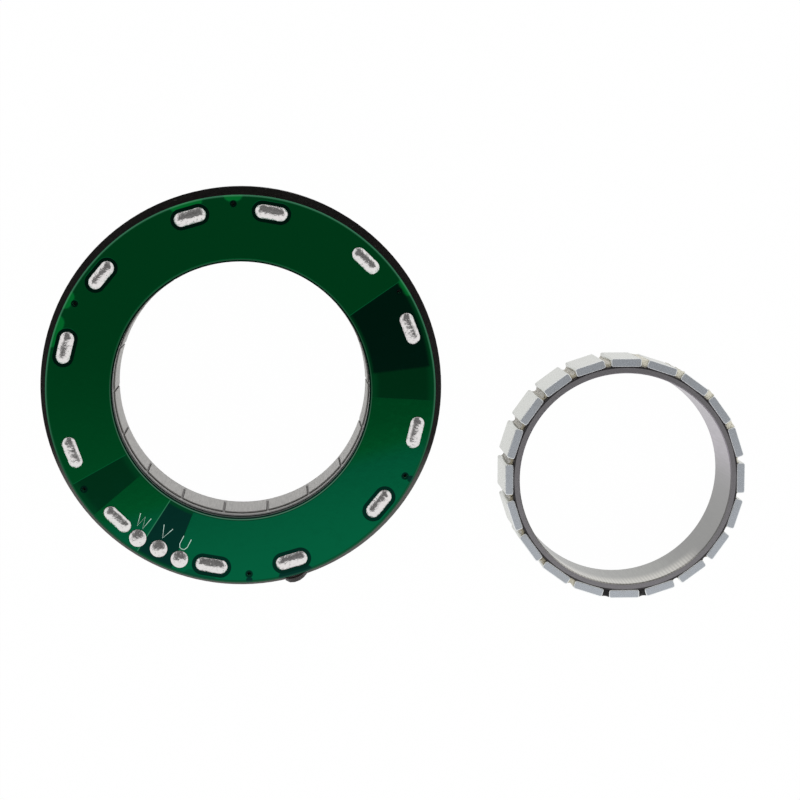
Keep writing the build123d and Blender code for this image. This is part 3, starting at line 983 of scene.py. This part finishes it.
CORNER_POINTS = 4
POINTS_PER_TURN = 4 * (CORNER_POINTS + 1)
COIL_CORNER = 1.3 * MM
WOUND_STRAND = 0.98 * STRAND
LAID_STRAND = 0.96 * STRAND


def rounded_loop(half_width, half_height, corner):
    """Points round a rectangle with round corners, in Y and Z."""
    points = []
    for start, (side_y, side_z) in zip(range(0, 360, 90), ((1, 1), (-1, 1), (-1, -1), (1, -1))):
        for k in range(CORNER_POINTS + 1):
            angle = radians(start + 90 * k / CORNER_POINTS)
            y = side_y * (half_width - corner) + corner * cos(angle)
            z = side_z * (half_height - corner) + corner * sin(angle)
            points.append((y, z))
    return points


def coil_windings():
    """Round wire wound turn beside turn over each coil's form."""
    low, high = turned_back_box("coil_01", FIRST_TOOTH_ANGLE)
    turns = int((high.x - low.x) / STRAND)
    last = low.x + STRAND * (turns - 0.5)
    path = []
    for k in range(turns * POINTS_PER_TURN):
        passed, point = divmod(k, POINTS_PER_TURN)
        x = min(low.x + STRAND * (passed + 0.5 + point / POINTS_PER_TURN), last)
        inset = (high.x - x) * COIL_SPREAD + STRAND / 2
        path.append((x, *rounded_loop(high.y - inset, high.z - inset, COIL_CORNER)[point]))
    for number in range(SLOTS):
        mesh = wire_mesh([path], WOUND_STRAND)
        mesh.transform(turn(FIRST_TOOTH_ANGLE + SLOT_PITCH * number))
        name = f"coil_{number + 1:02d}"
        piece(f"{name}_winding", mesh, "stator", "enamelled_copper", [name])


# Links under the board

LINK_RADIUS = 44.3 * MM
LINK_LEG_RADIUS = 42.6 * MM
LINK_LEG_ANGLE = 1.17
LINK_BOTTOM = STACK_TOP + 0.85 * MM
LINK_POINTS = 9
LINK_WANDER = 0.08 * MM
COILS_PER_GROUP = 3

# The loose link's way in the plan: its radius in millimetres, and the angle from its slot
LOOSE_LINK_SLOT = 14
LOOSE_LINK_PLAN = [
    (42.6, 1.0), (45.6, 0.8), (46.9, 1.3), (47.5, 2.2), (47.7, 3.4), (47.6, 4.8), (47.2, 6.1),
    (46.5, 7.4), (45.5, 9.0), (44.6, 11.0), (44.3, 13.5), (44.2, 18.0),
]
LOOSE_LINK_BOW = 3.4
LOOSE_STRAND_STEP = 0.6 * STRAND / MM
LOOSE_STRAND_GAP = 0.02 * MM


def slot_angle(slot):
    """The direction of a slot's middle, by its number."""
    return FIRST_SLOT_ANGLE + SLOT_PITCH * slot


def link_bundles():
    """Four strands, one above the other, from each coil to its neighbour."""
    paths = []
    for slot in range(SLOTS):
        if slot % COILS_PER_GROUP == 0 or slot == LOOSE_LINK_SLOT:
            continue
        start = slot_angle(slot) + LINK_LEG_ANGLE
        end = slot_angle(slot + 1) - LINK_LEG_ANGLE
        for strand in range(STRANDS_IN_HAND):
            height = LINK_BOTTOM + STRAND * (strand + 0.5)
            path = [polar(LINK_LEG_RADIUS, start, height)]
            for k in range(LINK_POINTS):
                wander = LINK_WANDER * noise.noise(Vector((slot, strand, k)))
                angle = start + (end - start) * k / (LINK_POINTS - 1)
                path.append(polar(LINK_RADIUS + wander, angle, height))
            path.append(polar(LINK_LEG_RADIUS, end, height))
            paths.append(path)
    mesh = wire_mesh(paths, LAID_STRAND)
    piece("link_strands", mesh, "stator", "enamelled_copper", ["link_wires"])


def loose_link_strands():
    """The one link whose strands bow out past the board's edge, the lowest one furthest."""
    paths = []
    for strand in range(STRANDS_IN_HAND):
        height = LINK_BOTTOM + (STRAND + LOOSE_STRAND_GAP) * (strand + 0.5)
        path = []
        for radius, angle in LOOSE_LINK_PLAN:
            share = max(0.0, (radius - LINK_RADIUS / MM) / LOOSE_LINK_BOW)
            place = (radius - strand * LOOSE_STRAND_STEP * share) * MM
            path.append(polar(place, slot_angle(LOOSE_LINK_SLOT) + angle, height))
        paths.append(path)
    mesh = wire_mesh(paths, WOUND_STRAND, sides=8)
    nodes = ["loose_link"]
    piece("loose_link_strands", mesh, "stator", "enamelled_copper", nodes, DARK_ENAMEL)


# Rotor

MAGNET_CORNER = 0.5 * MM
MAGNET_EDGE = 0.22 * MM
FLAT_FACE_AREA = 5.0 * MM**2
BEAD_INNER_RADIUS = 27.0 * MM
BEAD_CUTS = ((2, 22), (1, 5), (0, 2))
GAP_AT_HUB = 0.6 * MM
GAP_SPREAD = 0.158

# The glue in each gap, counter-clockwise from +X: how far out it fills, in millimetres, and its
# shade, from cream through light brown to black
BEADS = [
    (0.8, 0.15), (2.1, 0.0), (2.15, 0.0), (2.2, 0.05), (2.0, 0.1), (1.35, 0.3), (1.3, 0.35),
    (1.3, 0.4), (1.25, 0.4), (1.25, 0.45), (1.25, 0.5), (1.4, 0.5), (1.6, 0.45), (1.8, 0.2),
    (1.98, 1.0), (1.98, 1.0), (0.5, 0.5), (0.7, 0.6), (0.4, 0.2), (0.5, 0.1),
]
FULL_BEAD = 1.96 * MM
BEAD_REACH = 2.3 * MM
BEAD_ROUGHNESS = 0.12
BEAD_HOLLOW = 0.35
FULL_BEAD_HOLLOW = 0.06
BEAD_END_SINK = 0.035
BEAD_END_WANDER = 0.03
BLACK_SHADE = 0.9


def magnets():
    """Plated bars with rounded edges."""
    low, high = turned_back_box("magnet_01", 0.0, ROTOR_AXIS)
    size = high - low
    middle = (high + low) / 2
    for number in range(POLES):
        mesh = bmesh.new()
        bmesh.ops.create_cube(mesh, size=1.0, matrix=Matrix.Diagonal((*size, 1)))
        upright = [edge for edge in mesh.edges if edge_rise(edge, 2) > size.z / 2]
        round_edges(mesh, upright, MAGNET_CORNER)
        level = [edge for edge in mesh.edges if edge_rise(edge, 2) < size.z / 2]
        round_edges(mesh, level, MAGNET_EDGE)
        mesh.transform(turn(360 / POLES * number, ROTOR_AXIS) @ Matrix.Translation(middle))
        name = f"magnet_{number + 1:02d}"
        made = piece(f"{name}_plated", mesh, "rotor", "plated_magnet", [name])
        for polygon in made.data.polygons:
            polygon.use_smooth = polygon.area < FLAT_FACE_AREA


def edge_rise(edge, axis):
    """How far an edge runs along an axis."""
    return abs((edge.verts[0].co - edge.verts[1].co)[axis])


def round_edges(mesh, edges, radius):
    """Round bevels of a radius on some edges."""
    bmesh.ops.bevel(
        mesh, geom=edges, offset=radius, segments=4, profile=0.5, affect="EDGES", material=-1
    )


def adhesive_beads():
    """Uneven beads of epoxy between the magnets, hollowed where they wet the magnets' sides."""
    low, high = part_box("magnet_adhesive")
    joined = bmesh.new()
    shades = joined.verts.layers.float.new("shade")
    for number, (fill, shade) in enumerate(BEADS):
        bead = bmesh.new()
        bmesh.ops.create_cube(bead, size=1.0)
        for axis, cuts in BEAD_CUTS:
            along = [edge for edge in bead.edges if edge_rise(edge, axis) > 0.5]
            bmesh.ops.subdivide_edges(bead, edges=along, cuts=cuts, use_grid_fill=True)
        shape_bead(bead, fill * MM, shade, high.z - low.z, number)
        known = len(joined.verts)
        add_to(joined, bead, turn(360 / POLES * (number + 0.5), ROTOR_AXIS))
        joined.verts.ensure_lookup_table()
        for vert in joined.verts[known:]:
            vert[shades] = shade
    piece("adhesive_beads", joined, "rotor", "cured_adhesive", ["magnet_adhesive"])


def shape_bead(bead, fill, shade, length, number):
    """Bends a block to the gap between two magnets: it is filled further at their sides."""
    shift = Vector((number * 5.1, number * 2.3, 0))
    rough = BEAD_ROUGHNESS if shade < BLACK_SHADE else 0.0
    hollow = BEAD_HOLLOW if fill < FULL_BEAD else FULL_BEAD_HOLLOW
    for vert in bead.verts:
        across, along = 2 * vert.co.y, vert.co.z
        wander = noise.noise_vector(Vector((vert.co.x, vert.co.y, along * 9)) + shift)
        middle = 1 - across**2
        reach = min(fill * (1 + rough * wander.x), BEAD_REACH)
        rise_out = (vert.co.x + 0.5) * (reach - hollow * fill * middle)
        half_gap = GAP_AT_HUB + GAP_SPREAD * rise_out
        drawn_in = 1 - (BEAD_END_SINK + BEAD_END_WANDER * wander.z) * middle
        radius = BEAD_INNER_RADIUS + rise_out
        vert.co = Vector((radius, across * half_gap, along * length * drawn_in))


# Floor, light and camera


def studio_material(name):
    """A material without a shader, and its mixer."""
    material = bpy.data.materials.new(name)
    material.use_nodes = True
    material.node_tree.nodes.clear()
    return material, Mixer(material.node_tree)


def seen_directly(mixer):
    """One for rays that carry the background to the eye, straight, off metal or through glass."""
    rays = mixer.add("ShaderNodeLightPath", {}).outputs
    return mixer.either(*[rays[f"Is {kind} Ray"] for kind in ("Camera", "Glossy", "Transmission")])


def floor_and_backdrop():
    """A wide pale floor that shows white and keeps the motor's shadow."""
    mesh = bmesh.new()
    bmesh.ops.create_grid(mesh, x_segments=1, y_segments=1, size=FLOOR_SIZE / 2)
    mesh.transform(Matrix.Translation((0, 0, FOOT_LEVEL)))
    material, mixer = studio_material("floor")
    grey = (FLOOR_GREY, FLOOR_GREY, FLOOR_GREY, 1)
    paint = mixer.add("ShaderNodeBsdfDiffuse", {"Color": grey}).outputs[0]
    glow = mixer.add("ShaderNodeEmission", {"Color": (1, 1, 1, 1), "Strength": 1.0}).outputs[0]
    share = mixer.part_of(seen_directly(mixer), BACKGROUND_SHARE)
    mixed = mixer.add("ShaderNodeMixShader", {0: share, 1: paint, 2: glow}).outputs[0]
    mixer.add("ShaderNodeOutputMaterial", {"Surface": mixed})
    floor = new_object("floor", mesh, material)


def world_light():
    """Even light from all round, which shows white behind the motor."""
    world = bpy.data.worlds.new("studio")
    world.use_nodes = True
    bpy.context.scene.world = world
    mixer = Mixer(world.node_tree)
    background = world.node_tree.nodes["Background"]
    background.inputs["Color"].default_value = (1, 1, 1, 1)
    level = mixer.step(seen_directly(mixer), 0.0, 1.0, WORLD_LEVEL, 1.0)
    mixer.tree.links.new(level, background.inputs["Strength"])


def softbox():
    """A large soft light overhead, on the near side. The cards take its place in reflections."""
    light = bpy.data.lights.new("softbox", "AREA")
    light.shape = "RECTANGLE"
    light.size = SOFTBOX_WIDTH
    light.size_y = SOFTBOX_DEPTH
    light.energy = SOFTBOX_WATTS
    lamp = bpy.data.objects.new("softbox", light)
    lamp.visible_glossy = False
    lamp.location = (0, SOFTBOX_EDGE_Y - SOFTBOX_DEPTH / 2, SOFTBOX_HEIGHT)
    bpy.context.scene.collection.objects.link(lamp)


def add_card(mesh, place, low, high):
    """A flat rectangle between two corners in its own plane."""
    size = Matrix.Diagonal((high[0] - low[0], high[1] - low[1], 1, 1))
    middle = Matrix.Translation(((high[0] + low[0]) / 2, (high[1] + low[1]) / 2, 0))
    bmesh.ops.create_grid(mesh, x_segments=1, y_segments=1, size=0.5, matrix=place @ middle @ size)


def card_material():
    """Grey cloth, unevenly lit, and a glow just past the overhead card's slanting edge."""
    material, mixer = studio_material("card")
    place = mixer.add("ShaderNodeTexCoord", {}).outputs["Object"]
    x, y, _ = mixer.parts(place)
    beside = mixer.step(x, SIDE_CARD_START_X - 0.01, SIDE_CARD_START_X)
    fade = mixer.step(beside, 0.0, 1.0, *CARD_FADES)
    fade_end = mixer.math("ADD", fade, SIDE_CARD_EDGE_Y)
    plain = mixer.step(y, SIDE_CARD_EDGE_Y, fade_end, *CARD_GREYS)
    cloth = mixer.step(mixer.speckle(place, 4.0, 3.0, 0.7), 0.35, 0.65, 0.3, 1.7)
    far = mixer.step(y, 0.05, 0.3)
    uneven = mixer.both(plain, mixer.math("ADD", mixer.outside(far), mixer.both(far, cloth)))
    sides = mixer.step(mixer.math("ABSOLUTE", x), 0.8, 1.6, 0.0, CARD_SIDE_LEVEL)
    grey = mixer.either(uneven, sides)
    turned = radians(CARD_TURN)
    across = mixer.part_of(mixer.math("SUBTRACT", y, CARD_EDGE_Y), cos(turned))
    past_edge = mixer.math("SUBTRACT", across, mixer.part_of(x, sin(turned)))
    glow = mixer.step(past_edge, -CARD_GLOW_REACH, 0.0, 1.0, CARD_GLOW)
    under = mixer.step(past_edge, -CARD_EDGE_SOFTNESS, CARD_EDGE_SOFTNESS)
    covered = mixer.either(beside, under)
    level = mixer.math("ADD", mixer.both(covered, grey), mixer.both(mixer.outside(covered), glow))
    light = mixer.add("ShaderNodeEmission", {"Color": (1, 1, 1, 1), "Strength": level}).outputs[0]
    mixer.add("ShaderNodeOutputMaterial", {"Surface": light})
    return material


def grey_cards():
    """Cards over and behind the motor that only its shiny faces show, in the bright room."""
    mesh = bmesh.new()
    half = CARD_WIDTH / 2
    overhead = Matrix.Translation((0, CARD_EDGE_Y, CARD_HEIGHT))
    overhead = overhead @ Matrix.Rotation(radians(CARD_TURN), 4, "Z")
    add_card(mesh, overhead, (-half, -CARD_GLOW_REACH), (half, CARD_REACH + CARD_OVERLAP))
    beside = Matrix.Translation((0, 0, CARD_HEIGHT - SIDE_CARD_DROP))
    add_card(mesh, beside, (SIDE_CARD_START_X, SIDE_CARD_EDGE_Y), (half, SIDE_CARD_END_Y))
    behind = Matrix.Translation((0, CARD_REACH + CARD_EDGE_Y, 0))
    behind = behind @ Matrix.Rotation(radians(90), 4, "X")
    add_card(mesh, behind, (-half, CARD_FOOT), (half, CARD_HEIGHT))
    cards = new_object("cards", mesh, card_material())
    cards.visible_diffuse = False
    cards.visible_shadow = False


def camera():
    """The photograph's camera."""
    back = (CAMERA_PLACE - CAMERA_TARGET).normalized()
    right = Vector((0, 1, 0)).cross(back).normalized()
    up = back.cross(right)
    turned = Matrix((right, up, back)).transposed().to_4x4()
    data = bpy.data.cameras.new("camera")
    data.sensor_width = SENSOR_MM
    data.lens = FOCAL_PIXELS / PHOTO_PIXELS * SENSOR_MM
    data.clip_start = 0.01
    data.clip_end = 50
    holder = bpy.data.objects.new("camera", data)
    holder.matrix_world = Matrix.Translation(CAMERA_PLACE) @ turned
    bpy.context.scene.collection.objects.link(holder)
    bpy.context.scene.camera = holder


dress_cad_nodes()
solder_joints()
phase_solder()
phase_letters()
coil_windings()
link_bundles()
loose_link_strands()
magnets()
adhesive_beads()
floor_and_backdrop()
world_light()
softbox()
grey_cards()
camera()
bpy.context.scene.view_settings.view_transform = "Standard"
